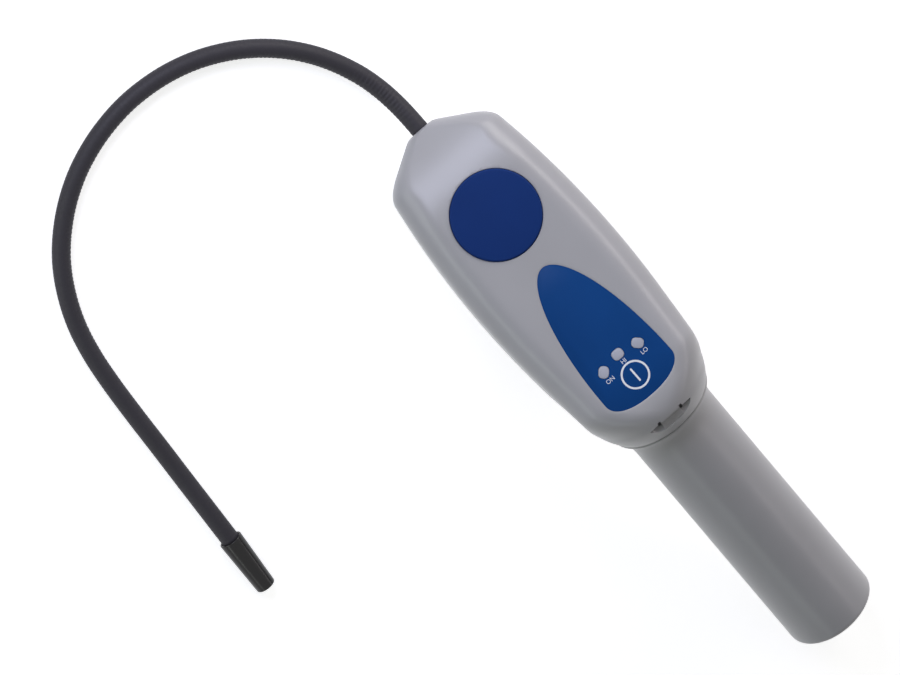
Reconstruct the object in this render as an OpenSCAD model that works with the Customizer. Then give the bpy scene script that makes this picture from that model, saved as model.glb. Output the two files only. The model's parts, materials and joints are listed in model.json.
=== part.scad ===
// Hand-held refrigerant leak detector: a moulded head with a round battery handle
// that bends away from its face, and a flexible sampling probe on its nose.
// The head is drawn along +X from its nose, with its face on the plane z = 0.
// It is then laid on its back on the floor, so that +Z is up and the handle points to +X.

/* [Head] */
// Widest width of the head
head_w = 67.6; // [64:0.2:72]
// Depth of the head, from the face to the flat of its back
head_depth = 55; // [53:0.5:57]
// Depth of the parting line below the face
parting_depth = 27; // [25:0.5:29]
// Distance from the nose to the widest place
widest_x = 80; // [76:1:84]
// Radius of the long sides, seen from the front
side_r = 397; // [350:1:450]
// Wall of the moulded shells
wall = 2.4; // [2:0.1:2.8]
// Rounding of the long front edges
front_edge_r = 13; // [10:0.5:14]
// Rounding of the long back edges
back_edge_r = 14; // [11:0.5:15]

/* [Nose] */
// Diameter of the flat end of the nose
nose_d = 13.6; // [13:0.1:15]
// Depth of the middle of the nose below the face
nose_depth = 18; // [17:0.5:19]
// Widening of each shoulder for each millimetre behind the nose
shoulder_slope = 1.66; // [1.4:0.02:1.9]
// Thickness of the nose around the probe
nose_wall = 9; // [8:0.5:10]

/* [Neck] */
// Angle between the face and the handle
bend = 34; // [32:0.5:36]
// Distance from the nose to the middle of the neck
neck_x = 150; // [148:0.5:152]
// Depth of the middle of the neck below the face
neck_depth = 36.5; // [35.5:0.5:37.5]
// Step from the handle out to the neck at the seam
neck_flare = 4.7; // [4:0.1:5.5]
// Open seam between the head and the handle
seam_gap = 0.35; // [0.3:0.05:0.5]
// Slope of the face when the detector lies on its back
rest_angle = 21; // [20.5:0.1:21.5]

/* [Batteries] */
// Diameter of a D cell
cell_d = 33.2; // [32.4:0.1:33.6]
// Length of a D cell, with its button
cell_l = 61.5; // [60:0.1:62]
// Height of the pressed battery spring
spring_h = 7.4; // [6:0.2:9]

/* [Handle] */
// Room around a cell in the handle
cell_room = 0.9; // [0.8:0.05:1.2]
// Wall of the handle
handle_wall = 2.55; // [2.2:0.05:3]
// Thickness of the closed end
handle_end = 3; // [2.5:0.1:4]
// Rounding of the closed end's rim
handle_round = 1.2; // [0.6:0.1:2]
// Length of the flare below the seam
flare_l = 12; // [10:0.5:15]
// Length of the neck's spigot inside the handle
spigot_l = 6; // [5:0.5:8]

/* [Button] */
// Diameter of the round button
button_d = 39.3; // [36:0.1:40]
// Distance from the nose to the middle of the button
button_x = 47.6; // [46:0.2:49]
// Height of the button's rim above the face
button_rise = 0.9; // [0.5:0.1:1.5]
// Further height of the button's middle
button_crown = 0.6; // [0.2:0.1:1]
// Travel of the button
button_travel = 1.2; // [0.6:0.1:1.4]

/* [Keypad] */
// Widest width of the film
film_w = 36.2; // [35:0.2:38]
// Distance from the nose to the tip of the film
film_top_x = 76.7; // [75:0.1:78]
// Distance from the nose to the lower edge of the film
film_end_x = 146.1; // [145:0.1:147]
// Distance from the nose to the widest place of the film
film_wide_x = 137.4; // [136:0.2:139]
// Thickness of the film
film_t = 0.4; // [0.2:0.05:0.5]
// Distance from the nose to the middle of the power key
key_x = 135.5; // [134.5:0.1:136.5]
// Length of a lamp window, across the line to the key
lamp_l = 5.2; // [4.6:0.1:5.6]
// Width of a lamp window
lamp_w = 4.4; // [4:0.1:5.2]

/* [Latch] */
// Width of the finger tab
latch_w = 10.2; // [9:0.1:11]
// Distance from the middle of the neck to the straight edge of the scoop, along the face
scoop_reach = 7.6; // [7:0.1:8]
// Depth of the scoop's shelf below the face
scoop_depth = 10; // [9.5:0.1:10.5]
// Travel of the latch
latch_travel = 1.6; // [1:0.1:1.6]

/* [Probe] */
// Diameter of the flexible hose
hose_d = 8.1; // [7.6:0.1:8.4]
// Length of the sensor tip
tip_l = 26.5; // [22:0.5:30]
// Diameter of the tip next to the hose
tip_d = 10.3; // [9.8:0.1:10.4]
// Diameter of the tip's open end
tip_end_d = 8.7; // [7.8:0.1:8.8]

/* [Hidden] */
$fn = 64;

// Clearances
moving_gap = 0.3;
seat_gap = 0.1;
parting_gap = 0.1;
cut = 1;

// The head follows a spine that is straight behind the nose and turns into the handle at the neck
cell_r = cell_d / 2;
bore_r = cell_r + cell_room;
handle_r = bore_r + handle_wall;
nose_r = nose_d / 2;
neck_r = handle_r + neck_flare;
turn_r = (neck_depth - parting_depth) / (1 - cos(bend));
turn_start = neck_x - turn_r * sin(bend);
turn_l = turn_r * bend * PI / 180;
spine_l = turn_start + turn_l;
nose_blend = 45;
nose_slope = 0.5;
throat_slope = 1.15;
shoulder_soft = 7;
face_soft = 8;
keel_soft = 4;
back_soft = 6;
edge_blend = 25;
waist_angle = 17;
waist_power = 3.2;
chin_slope = 1;
round_from = 12;
round_to = 27;

// Handle and cells, measured along the handle's axis from the seam
spigot_gap = 0.3;
spigot_wall = 1.5;
spigot_step = 0.2;
socket_depth = 9;
spigot_r = bore_r + spigot_step + spigot_wall;
socket_bore_r = spigot_r + spigot_gap;
cell_top = 1.8;
strip_t = 0.3;
cell_gap = 0.05;
handle_l = cell_top + 2 * cell_l + cell_gap + spring_h + 2 * seat_gap + strip_t + handle_end;
shoulder_z = spigot_l + 1;
socket_flange_t = 2.2;
socket_flange_r = spigot_r + 1.8;
socket_lip = 1.4;
socket_top = socket_lip + socket_flange_t;
socket_floor = 2.6;
plate_t = 0.6;
contact_r = 3.5;
flare_land = 1.6;
flare_steps = 10;
cell_button_r = 4.75;
cell_button_h = 1.5;
cell_edge = 0.8;
spring_from = cell_top + 2 * cell_l + cell_gap + seat_gap;
spring_wire = 0.6;
spring_turns = 3;
strip_w = 4;
strip_room = 0.2;
strip_r = bore_r - strip_room - strip_t;

// Resting place: the floor touches the handle's rear rim and a flat land on the back shell
rim_x = neck_x + (handle_l - handle_round) * cos(bend) - (handle_r - handle_round) * sin(bend);
rim_z = -neck_depth - (handle_l - handle_round) * sin(bend) - (handle_r - handle_round) * cos(bend);
floor_h = handle_round - rim_x * sin(rest_angle) - rim_z * cos(rest_angle);
land_trim = 0.4;
far_x = neck_x + (handle_l - handle_round) * cos(bend) + (handle_r - handle_round) * sin(bend);
far_z = -neck_depth - (handle_l - handle_round) * sin(bend) + (handle_r - handle_round) * cos(bend);
reach_max = far_x * cos(rest_angle) - far_z * sin(rest_angle) + handle_round;
reach_min = (nose_depth - nose_r) * sin(rest_angle);
origin_x = -(reach_min + reach_max) / 2;

// Rings of the head's loft
ring_n = 24;
stations = concat(
    [for (i = [0:9]) nose_blend * pow(i / 10, 1.5)],
    [for (i = [0:8]) nose_blend + (turn_start - nose_blend) * i / 8],
    [for (i = [1:12]) turn_start + turn_l * (1 - pow(1 - i / 12, 1.3))]
);

// Inside of the head
board_t = 1.6;
board_top = -wall - 7.6;
board_from = 36;
board_to = 139;
board_w = 31;
boss_r = 2.6;
board_screw_r = 1.2;
board_screw_head_r = 2.3;
board_holes = [[68, 12.5], [68, -12.5], [112, 12.5], [112, -12.5]];
screw_r = 1.5;
screw_head_r = 2.9;
screw_head_h = 2.2;
pillar_r = 4.2;
post_r = 3.6;
screw_holes = [[24, 14], [24, -14], [116, 19.5], [116, -19.5]];
screw_seat = 6;
key_hole_r = 3;
lamp_angle = 45;
lamp_side_r = 13.2;
lamp_mid_r = 11.2;
lamp_round = 1.8;
film_recess = 0.5;
board_screw_grip = 5;
screw_grip = 9;
switch_w = 12;
switch_h = 3.3;
plunger_r = 1.75;
plunger_top = board_top + switch_h + button_travel + moving_gap;
beeper_x = 88;
beeper_r = 12;
beeper_h = 7;

// Pump
motor_r = 9.8;
motor_l = 26;
pump_x = 56;
pump_l = 18;
pump_lift = 15;
pump_z = pump_lift - back_depth(pump_x);
pump_w = 20;
nozzle_r = 2;
nozzle_l = 5;
tube_r = 2.4;
tube_lead = 1;
sound_x = 100;
sound_pitch = 3.6;
sound_l = 14;
sound_w = 1.6;
cradle_t = 2;
cradle_w = 16;

// Ferrule
ferrule_r = 6;
ferrule_flange_r = 7.6;
ferrule_flange_t = 2.4;
ferrule_back = 3.6;
barb_r = 2.2;
barb_l = 6;
air_r = 1.4;
tube_from = nose_wall + ferrule_flange_t + barb_l + seat_gap;
tube_to = pump_x - nozzle_l - seat_gap;

// Latch
scoop_x = neck_x + scoop_reach;
latch_t = 1.6;
latch_ear = 2.1;
notch_w = 1.4;
latch_rise = 2.8;
latch_lip = 0.9;
latch_tab = 3;
latch_neck = 1.2;
latch_slot = latch_neck + moving_gap + latch_ear + latch_travel + moving_gap;

// Probe route on the floor, from inside the nose to inside the tip
hose_r = hose_d / 2;
hose_sides = 10;
hose_route = [
    [-137.2, 0, 14.6], [-148, 0, 10.4], [-156, -0.5, 7.4], [-164, -1.7, 5.2], [-173.3, -4.1, 4.1],
    [-184.2, -8.4, 4.1], [-194.3, -14, 4.1], [-203.8, -21.2, 4.1], [-212.3, -29.9, 4.1], [-219.3, -39.6, 4.1],
    [-225, -50.6, 4.1], [-228.8, -62, 4.1], [-230.8, -73.5, 4.1], [-231.2, -85.5, 4.1], [-229.7, -97.5, 4.1],
    [-226.6, -109, 4.1], [-221.7, -120.4, 4.1], [-214.6, -131.5, 4.1], [-205.7, -141.5, 4.1],
    [-195.8, -149.6, 4.1], [-183.9, -156.3, 4.1], [-171.1, -161.2, 4.1], [-157.1, -164.3, 4.1],
    [-142, -166.1, 4.1], [-125, -167.3, 4.2], [-108, -168.2, 4.5], [-91, -169.2, 4.9], [-73, -170.2, 5.2],
    [-53, -171.3, 5.2]
];
hose_inset = 3;
route_end = hose_route[len(hose_route) - 1];
route_last = route_end - hose_route[len(hose_route) - 2];
tip_heading = atan2(route_last[1], route_last[0]);

// Button
button_edge = 0.8;
button_flange = 1.5;
button_flange_t = 1.2;
button_cap_t = 2.2;
button_skirt_t = 2;
stem_r = 3;

// Sensor tip
socket_r = hose_r - 0.5;
socket_l = 9;
sensor_r = 2.6;
sensor_l = 8;
tip_bore_r = hose_r + moving_gap;
tip_cavity_r = socket_r + moving_gap;
inlet_r = 2.2;
filter_t = 1;

// Soft minimum: the smaller of two values, with a rounded corner of width k where they cross
function soft_min(a, b, k) =
    let (h = max(k - abs(a - b), 0) / k)
    min(a, b) - h * h * k / 4;

function ease(t) =
    let (c = min(max(t, 0), 1))
    c * c * (3 - 2 * c);

// Angle of the spine at distance u along it
function turn(u) = max(u - turn_start, 0) / turn_r * 180 / PI;

function spine_x(u) = min(u, turn_start) + turn_r * sin(turn(u));

function spine_z(u) =
    -parting_depth - turn_r * (1 - cos(turn(u))) + (parting_depth - nose_depth) * (1 - ease(u / nose_blend));

// Point at height h above the spine and y beside it
function on_section(u, y, h) =
    [spine_x(u) + h * sin(turn(u)), y, spine_z(u) + h * cos(turn(u))];

function side_width(u) = head_w / 2 - pow(spine_x(u) - widest_x, 2) / (2 * side_r);

function half_width(u) =
    let (w = soft_min(nose_r + shoulder_slope * u, side_width(u), shoulder_soft))
    neck_r + (w - neck_r) * (1 - pow(max(turn(u) - waist_angle, 0) / (bend - waist_angle), waist_power));

// Height of the front above the spine: nose slope, flat face, then the chin
function front_height(u) =
    let (a = turn(u))
    let (face = soft_min(0, -nose_depth + nose_r + nose_slope * u, face_soft) - spine_z(u))
    let (flat = (parting_depth + turn_r * (1 - cos(a))) / cos(a))
    soft_min(u < turn_start ? face : flat, neck_r + chin_slope * (bend - a), face_soft);

function floor_depth(x) = (floor_h + x * sin(rest_angle)) / cos(rest_angle);

// Depth of the back below the face: throat, floor land, then the flat back
function back_depth(u) =
    let (throat = nose_depth + nose_r + throat_slope * u)
    soft_min(soft_min(throat, floor_depth(u) + land_trim, keel_soft), head_depth, back_soft);

function back_height(u) =
    let (straight = head_depth - parting_depth)
    u < turn_start ? back_depth(u) + spine_z(u) : straight + (neck_r - straight) * ease(turn(u) / bend);

function height(u, side) = side > 0 ? front_height(u) : back_height(u);

// Radius of the section's corner, which grows to the full half-size at the neck and the nose
function corner(u, full, edge_r) =
    let (r = min(nose_r + (edge_r - nose_r) * ease(u / edge_blend), full))
    r + (full - r) * ease((turn(u) - round_from) / (round_to - round_from));

function slope(u, side) =
    side == 0 ? half_width(u + 0.5) - half_width(u - 0.5) : height(u + 0.5, side) - height(u - 0.5, side);

// Size of the cavity: the outer size less the wall, and no wider than the socket bore at the neck
function cavity(u, side) =
    let (outer = side == 0 ? half_width(u) : height(u, side))
    let (neck_limit = socket_bore_r - moving_gap + 1.6 * max(round_to - 1 - turn(u), 0))
    min(outer - wall * sqrt(1 + pow(slope(min(u, spine_l - 0.6), side), 2)), neck_limit);

// Half of a section: from the parting line at +y, over the front or the back, to -y
function half_ring(u, side, inner) =
    let (w = inner ? cavity(u, 0) : half_width(u))
    let (h = inner ? cavity(u, side) : height(u, side))
    let (edge_r = (side > 0 ? front_edge_r : back_edge_r) - (inner ? wall : 0))
    let (ry = corner(u, w, edge_r))
    let (rz = corner(u, h, edge_r))
    [for (i = [0:ring_n])
        let (t = 180 * i / ring_n)
        let (y = i == ring_n / 2 ? 0 : (w - ry) * sign(cos(t)) + ry * cos(t))
        let (rise = i == 0 || i == ring_n ? parting_gap / 2 : h - rz + rz * sin(t))
        on_section(u, y, side * rise)];

function inner_station(u) = u + nose_wall * max(1 - u / nose_blend, 0);

// Two triangles of a four-sided face, turned over for the back shell
function two(a, b, c, d, side) =
    side > 0 ? [[a, b, c], [a, c, d]] : [[c, b, a], [d, c, a]];

function fan(corners, side) =
    [for (i = [1:len(corners) - 2])
        side > 0 ? [corners[0], corners[i], corners[i + 1]] : [corners[i + 1], corners[i], corners[0]]];

// One moulded shell: outer skin, cavity skin, and the rims that join them
module shell(side) {
    rows = len(stations);
    cols = ring_n + 1;
    last = rows - 1;
    inner = rows * cols;
    points = concat(
        [for (u = stations) each half_ring(u, side, false)],
        [for (u = stations) each half_ring(inner_station(u), side, true)]
    );
    skin = [for (i = [0:last - 1], j = [0:cols - 2])
        let (a = i * cols + j)
        each concat(
            two(a, a + cols, a + cols + 1, a + 1, side),
            two(inner + a + 1, inner + a + cols + 1, inner + a + cols, inner + a, side)
        )];
    rims = [for (i = [0:last - 1])
        let (a = i * cols)
        let (b = a + cols - 1)
        each concat(
            two(a, inner + a, inner + a + cols, a + cols, side),
            two(b, b + cols, inner + b + cols, inner + b, side)
        )];
    nose = concat(
        fan([for (j = [0:cols - 1]) j], side),
        fan([for (j = [cols - 1:-1:0]) inner + j], side),
        two(0, cols - 1, inner + cols - 1, inner, side)
    );
    mouth = [for (j = [0:cols - 2])
        let (a = last * cols + j)
        each two(a + 1, a, inner + a, inner + a + 1, side)];
    polyhedron(points, concat(skin, rims, nose, mouth));
}

// Lays what is drawn in the face's frame on the floor
module laid() {
    translate([origin_x, 0, floor_h])
        rotate([0, -rest_angle, 0])
            children();
}

// Frame of the handle: z runs from the seam to the handle's closed end
module on_handle() {
    laid()
        handle_frame()
            children();
}

module handle_frame() {
    translate([neck_x, 0, -neck_depth])
        rotate([0, 90 + bend, 0])
            children();
}

// Frame of the sensor tip: z runs from the hose's side to the open end
module on_tip() {
    translate(route_end)
        rotate([0, 90, tip_heading])
            translate([0, 0, -hose_inset])
                children();
}

module along_nose(from) {
    translate([from, 0, -nose_depth])
        rotate([0, 90, 0])
            children();
}

module rounded_box(size, r) {
    linear_extrude(size[2])
        union() {
            square([size[0] - 2 * r, size[1]], center = true);
            square([size[0], size[1] - 2 * r], center = true);
            for (x = [-1, 1], y = [-1, 1])
                translate([x * (size[0] / 2 - r), y * (size[1] / 2 - r)])
                    circle(r);
        }
}

module at_each(places) {
    for (place = places)
        translate([place[0], place[1], 0])
            children();
}

// Ogive outline of the film, wider by more
module film_outline(more) {
    half_w = film_w / 2 + more;
    top = film_wide_x - film_top_x + more;
    bottom = film_end_x - film_wide_x + more;
    top_power = 2 / 1.95;
    bottom_power = 2 / 2.2;
    polygon([for (i = [0:47])
        let (t = 360 * i / 48)
        let (power = cos(t) < 0 ? top_power : bottom_power)
        let (reach = cos(t) < 0 ? top : bottom)
        [film_wide_x + reach * sign(cos(t)) * pow(abs(cos(t)), power),
            half_w * sign(sin(t)) * pow(abs(sin(t)), power)]]);
}

// Middle of lamp i: -1, 0 or 1 across the film
function lamp_reach(i) = i == 0 ? lamp_mid_r : lamp_side_r;

module at_lamp(i) {
    translate([key_x, 0, 0])
        rotate([0, 0, -i * lamp_angle])
            translate([-lamp_reach(i), 0, 0])
                children();
}

module lamp_windows() {
    window = [lamp_w + 2 * seat_gap, lamp_l + 2 * seat_gap, wall + 2 * cut];
    for (i = [-1, 0, 1])
        at_lamp(i)
            translate([0, 0, -wall - cut])
                rounded_box(window, lamp_round);
}

module nose_bores() {
    along_nose(-cut)
        cylinder(h = ferrule_back + 2 * cut, r = hose_r + moving_gap);
    along_nose(ferrule_back - seat_gap)
        cylinder(h = nose_wall, r = ferrule_r + seat_gap);
}

module neck_bores() {
    handle_frame() {
        translate([0, 0, -socket_depth])
            cylinder(h = socket_depth + cut, r = socket_bore_r);
        translate([0, 0, -socket_top - seat_gap])
            cylinder(h = socket_flange_t + 2 * seat_gap, r = socket_flange_r + seat_gap);
    }
}

// Scoop on the chin, with the slot that guides the latch
module scoop() {
    shelf_z = -scoop_depth;
    slot_h = latch_rise + seat_gap + moving_gap;
    mouth_w = latch_w + 2 * notch_w;
    ear_w = mouth_w + 2 * moving_gap + 1.4;
    translate([scoop_x, -neck_r, shelf_z])
        cube([neck_x, 2 * neck_r, neck_x]);
    translate([scoop_x - latch_neck - cut, -mouth_w / 2, shelf_z])
        cube([latch_neck + 2 * cut, mouth_w, slot_h]);
    translate([scoop_x - latch_slot, -ear_w / 2, shelf_z])
        cube([latch_slot - latch_neck, ear_w, slot_h]);
}

module front_housing() {
    color([0.63, 0.64, 0.67])
        laid()
            difference() {
                union() {
                    shell(1);
                    at_each(board_holes)
                        translate([0, 0, board_top])
                            cylinder(h = -board_top - wall / 2, r = boss_r);
                    for (place = screw_holes)
                        translate([place[0], place[1], post_foot(place[0])])
                            cylinder(h = -front_drop(place[0]) - wall / 2 - post_foot(place[0]), r = post_r);
                }
                translate([button_x, 0, -2 * wall])
                    cylinder(h = 2 * wall + cut, r = button_d / 2 + moving_gap);
                translate([0, 0, -film_recess])
                    linear_extrude(film_recess + cut)
                        film_outline(moving_gap / 2);
                lamp_windows();
                translate([key_x, 0, -wall - cut])
                    cylinder(h = wall + 2 * cut, r = key_hole_r);
                at_each(board_holes)
                    translate([0, 0, board_top - cut])
                        cylinder(h = board_screw_grip + cut + seat_gap, r = board_screw_r + seat_gap / 2);
                for (place = screw_holes)
                    translate([place[0], place[1], spine_z(place[0]) - cut])
                        cylinder(h = screw_grip + 2 * cut, r = screw_r + seat_gap / 2);
                nose_bores();
                neck_bores();
                scoop();
            }
}

// Depth of the front surface below the face at distance x from the nose
function front_drop(x) = -(front_height(x) + spine_z(x));

function back_seat(x) = -back_depth(x) + screw_seat;

// The posts of the two shells meet at the parting line
function post_foot(x) = spine_z(x) + parting_gap / 2;

function pillar_top(x) = spine_z(x) - parting_gap / 2;

module screw_pillars() {
    for (place = screw_holes) {
        foot = wall / 2 - back_depth(place[0]);
        translate([place[0], place[1], foot])
            cylinder(h = pillar_top(place[0]) - foot, r = pillar_r);
    }
}

module screw_bores() {
    for (place = screw_holes)
        translate([place[0], place[1], -head_depth - cut]) {
            cylinder(h = head_depth + cut + back_seat(place[0]), r = screw_head_r + moving_gap);
            cylinder(h = head_depth + cut, r = screw_r + seat_gap);
        }
}

module rear_housing() {
    color([0.6, 0.61, 0.64])
        difference() {
            laid()
                difference() {
                    union() {
                        shell(-1);
                        screw_pillars();
                        pump_cradle();
                    }
                    screw_bores();
                    for (i = [-2:2])
                        translate([sound_x, i * sound_pitch, -head_depth - cut])
                            linear_extrude(2 * wall)
                                square([sound_l, sound_w], center = true);
                    nose_bores();
                    neck_bores();
                }
            translate([-neck_x, -head_w, -head_w])
                cube([2 * neck_x, 2 * head_w, head_w]);
        }
}

// Two ribs on the back shell that carry the pump's motor
module pump_cradle() {
    difference() {
        for (x = [pump_x + pump_l + 5, pump_x + pump_l + motor_l - 5])
            translate([x, -cradle_w / 2, -head_depth + wall / 2])
                cube([cradle_t, cradle_w, head_depth + pump_z - wall / 2 - motor_r / 2]);
        translate([pump_x + pump_l, 0, pump_z])
            rotate([0, 90, 0])
                cylinder(h = motor_l + cut, r = motor_r + seat_gap);
    }
}

module housing_screws() {
    color("silver")
        laid()
            for (place = screw_holes)
                translate([place[0], place[1], back_seat(place[0])]) {
                    translate([0, 0, -screw_head_h - seat_gap / 2])
                        cylinder(h = screw_head_h, r = screw_head_r);
                    translate([0, 0, -screw_head_h])
                        cylinder(
                            h = spine_z(place[0]) - back_seat(place[0]) + screw_grip + screw_head_h,
                            r = screw_r
                        );
                }
}

module keypad_overlay() {
    color([0.07, 0.24, 0.45])
        laid()
            difference() {
                translate([0, 0, -film_recess])
                    linear_extrude(film_t)
                        film_outline(0);
                lamp_windows();
            }
}

// Light guide from a lamp on the board to its window in the film
module lamp(i) {
    color([0.82, 0.78, 0.78])
        laid()
            at_lamp(i) {
                translate([0, 0, board_top + seat_gap])
                    rounded_box([lamp_w, lamp_l, -board_top - seat_gap - film_recess + film_t], lamp_round);
                translate([0, 0, board_top + seat_gap])
                    rounded_box([lamp_w + 1, lamp_l + 1, 2], lamp_round);
            }
}

module power_lamp() {
    lamp(-1);
}

module high_lamp() {
    lamp(0);
}

module low_lamp() {
    lamp(1);
}

module circuit_board() {
    color([0.1, 0.4, 0.22])
        laid()
            difference() {
                translate([(board_from + board_to) / 2, 0, board_top - board_t])
                    rounded_box([board_to - board_from, board_w, board_t], 2);
                at_each(board_holes)
                    translate([0, 0, board_top - board_t - cut])
                        cylinder(h = board_t + 2 * cut, r = board_screw_r + seat_gap);
            }
}

module board_screws() {
    color("silver")
        laid()
            at_each(board_holes) {
                translate([0, 0, board_top - board_t - 1.6])
                    cylinder(h = 1.6, r = board_screw_head_r);
                translate([0, 0, board_top - board_t - 0.5])
                    cylinder(h = board_t + board_screw_grip + 0.5, r = board_screw_r);
            }
}

module button_switch() {
    color([0.12, 0.12, 0.13])
        laid()
            translate([button_x, 0, board_top])
                difference() {
                    rounded_box([switch_w, switch_w, switch_h], 1);
                    translate([0, 0, switch_h - button_travel - 0.6])
                        cylinder(h = switch_h, r = plunger_r + moving_gap);
                }
}

module switch_plunger() {
    color([0.75, 0.72, 0.66])
        laid()
            translate([button_x, 0, board_top + switch_h - 0.5])
                cylinder(h = plunger_top - board_top - switch_h + 0.5, r = plunger_r);
}

module power_switch() {
    color([0.12, 0.12, 0.13])
        laid()
            translate([key_x, 0, board_top]) {
                rounded_box([6, 6, 3.5], 0.5);
                cylinder(h = -board_top - film_recess - 0.2, r = plunger_r);
            }
}

module beeper() {
    color([0.1, 0.1, 0.1])
        laid()
            translate([beeper_x, 0, board_top - board_t - beeper_h])
                difference() {
                    cylinder(h = beeper_h, r = beeper_r);
                    translate([0, 0, -cut])
                        cylinder(h = 2 + cut, r = 1.6);
                }
}

module pump_head() {
    color([0.2, 0.2, 0.22])
        laid()
            translate([pump_x, 0, pump_z])
                rotate([0, 90, 0]) {
                    rounded_box([pump_w, pump_w, pump_l - seat_gap], 3);
                    translate([0, 0, -nozzle_l])
                        cylinder(h = nozzle_l + cut, r = nozzle_r);
                }
}

module pump_motor() {
    color("silver")
        laid()
            translate([pump_x + pump_l, 0, pump_z])
                rotate([0, 90, 0]) {
                    cylinder(h = motor_l, r = motor_r);
                    translate([0, 0, motor_l - cut])
                        cylinder(h = 2 + cut, r = 3);
                }
}

// Sweeps a round tube along a route of points that never runs straight up
function heading(route, i) =
    let (before = route[max(i - 1, 0)])
    let (after = route[min(i + 1, len(route) - 1)])
    (after - before) / norm(after - before);

module tube_along(route, r, sides) {
    rings = len(route);
    points = [for (i = [0:rings - 1])
        let (ahead = heading(route, i))
        let (flat = cross(ahead, [0, 0, 1]))
        let (beside = flat / norm(flat))
        let (above = cross(beside, ahead))
        for (j = [0:sides - 1])
            let (t = 360 * j / sides - 90)
            route[i] + r * (cos(t) * beside + sin(t) * above)];
    walls = [for (i = [0:rings - 2], j = [0:sides - 1])
        let (a = i * sides + j)
        let (b = i * sides + (j + 1) % sides)
        each [[a, b, b + sides], [a, b + sides, a + sides]]];
    ends = concat(
        fan([for (j = [sides - 1:-1:0]) j], 1),
        fan([for (j = [0:sides - 1]) (rings - 1) * sides + j], 1)
    );
    polyhedron(points, concat(walls, ends));
}

module pump_tube() {
    color([0.8, 0.8, 0.78])
        laid()
            tube_along(
                concat(
                    [[tube_from, 0, -nose_depth]],
                    [for (i = [0:10])
                        let (t = i / 10)
                        let (drop = (pump_z + nose_depth) * ease(t))
                        let (span = tube_to - tube_from - 2 * tube_lead)
                        [tube_from + tube_lead + span * t, 0, drop - nose_depth]],
                    [[tube_to, 0, pump_z]]
                ),
                tube_r, 10
            );
}

module battery_socket() {
    color([0.16, 0.16, 0.17])
        on_handle()
            rotate_extrude()
                polygon([
                    [0, -socket_top], [socket_flange_r, -socket_top], [socket_flange_r, -socket_lip],
                    [spigot_r, -socket_lip], [spigot_r, spigot_l], [spigot_r - spigot_wall, spigot_l],
                    [spigot_r - spigot_wall, socket_floor - socket_top], [0, socket_floor - socket_top]
                ]);
}

module contact_plate() {
    color([0.85, 0.72, 0.4])
        on_handle()
            rotate_extrude()
                polygon([
                    [0, socket_floor - socket_top], [cell_r / 2, socket_floor - socket_top],
                    [cell_r / 2, socket_floor - socket_top + plate_t],
                    [contact_r + 1, socket_floor - socket_top + plate_t],
                    [contact_r, cell_top - moving_gap], [0, cell_top - moving_gap]
                ]);
}

module contact_ring() {
    color([0.85, 0.72, 0.4])
        on_handle()
            translate([0, 0, spigot_l])
                difference() {
                    cylinder(h = strip_t, r = spigot_r - seat_gap);
                    translate([0, 0, -cut])
                        cylinder(h = strip_t + 2 * cut, r = spigot_r - spigot_wall + seat_gap);
                }
}

module probe_ferrule() {
    color([0.75, 0.62, 0.35])
        laid()
            along_nose(ferrule_back)
                difference() {
                    union() {
                        cylinder(h = nose_wall - ferrule_back + cut, r = ferrule_r);
                        translate([0, 0, nose_wall - ferrule_back + seat_gap])
                            cylinder(h = ferrule_flange_t - seat_gap, r = ferrule_flange_r);
                        cylinder(h = nose_wall - ferrule_back + ferrule_flange_t + barb_l, r = barb_r);
                    }
                    translate([0, 0, -cut])
                        cylinder(h = 2 * nose_wall + barb_l, r = air_r);
                }
}

module probe_hose() {
    color([0.22, 0.21, 0.24])
        tube_along(hose_route, hose_r, hose_sides);
}

module sensor_socket() {
    color([0.16, 0.16, 0.17])
        on_tip()
            translate([0, 0, hose_inset + seat_gap / 2])
                difference() {
                    cylinder(h = socket_l, r = socket_r);
                    translate([0, 0, socket_l - 3])
                        cylinder(h = 3 + cut, r = sensor_r + seat_gap);
                }
}

module sensor() {
    color("silver")
        on_tip()
            translate([0, 0, hose_inset + socket_l - 3 + seat_gap]) {
                cylinder(h = sensor_l, r = sensor_r);
                translate([0, 0, sensor_l - 1])
                    cylinder(h = 2.5, r = 1.2);
            }
}

// Quarter round from along one axis to the other, as points of an outline
function quarter(middle, r, from) =
    [for (i = [0:6]) middle + r * [cos(from + 15 * i), sin(from + 15 * i)]];

module battery_handle() {
    flare_from = seam_gap + flare_land;
    flare = [for (i = [0:flare_steps])
        let (t = 90 * i / flare_steps)
        [neck_r - (neck_r - handle_r) * sin(t), flare_from + flare_l * (1 - cos(t))]];
    rim = [handle_r - handle_round, handle_l - handle_round];
    color([0.55, 0.56, 0.58])
        on_handle()
            rotate_extrude($fn = 128)
                polygon(concat(
                    [[neck_r, seam_gap]],
                    flare,
                    quarter(rim, handle_round, 0),
                    [
                        [0, handle_l], [0, handle_l - handle_end], [bore_r, handle_l - handle_end],
                        [bore_r, shoulder_z], [socket_bore_r, shoulder_z], [socket_bore_r, seam_gap]
                    ]
                ));
}

module cell(top) {
    on_handle()
        translate([0, 0, top])
            rotate_extrude()
                polygon([
                    [0, 0], [cell_button_r, 0], [cell_button_r, cell_button_h],
                    [cell_r - cell_edge, cell_button_h], [cell_r, cell_button_h + cell_edge],
                    [cell_r, cell_l - cell_edge], [cell_r - cell_edge, cell_l], [0, cell_l]
                ]);
}

module battery_upper() {
    color([0.72, 0.55, 0.25])
        cell(cell_top);
}

module battery_lower() {
    color([0.72, 0.55, 0.25])
        cell(cell_top + cell_l + cell_gap);
}

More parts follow.
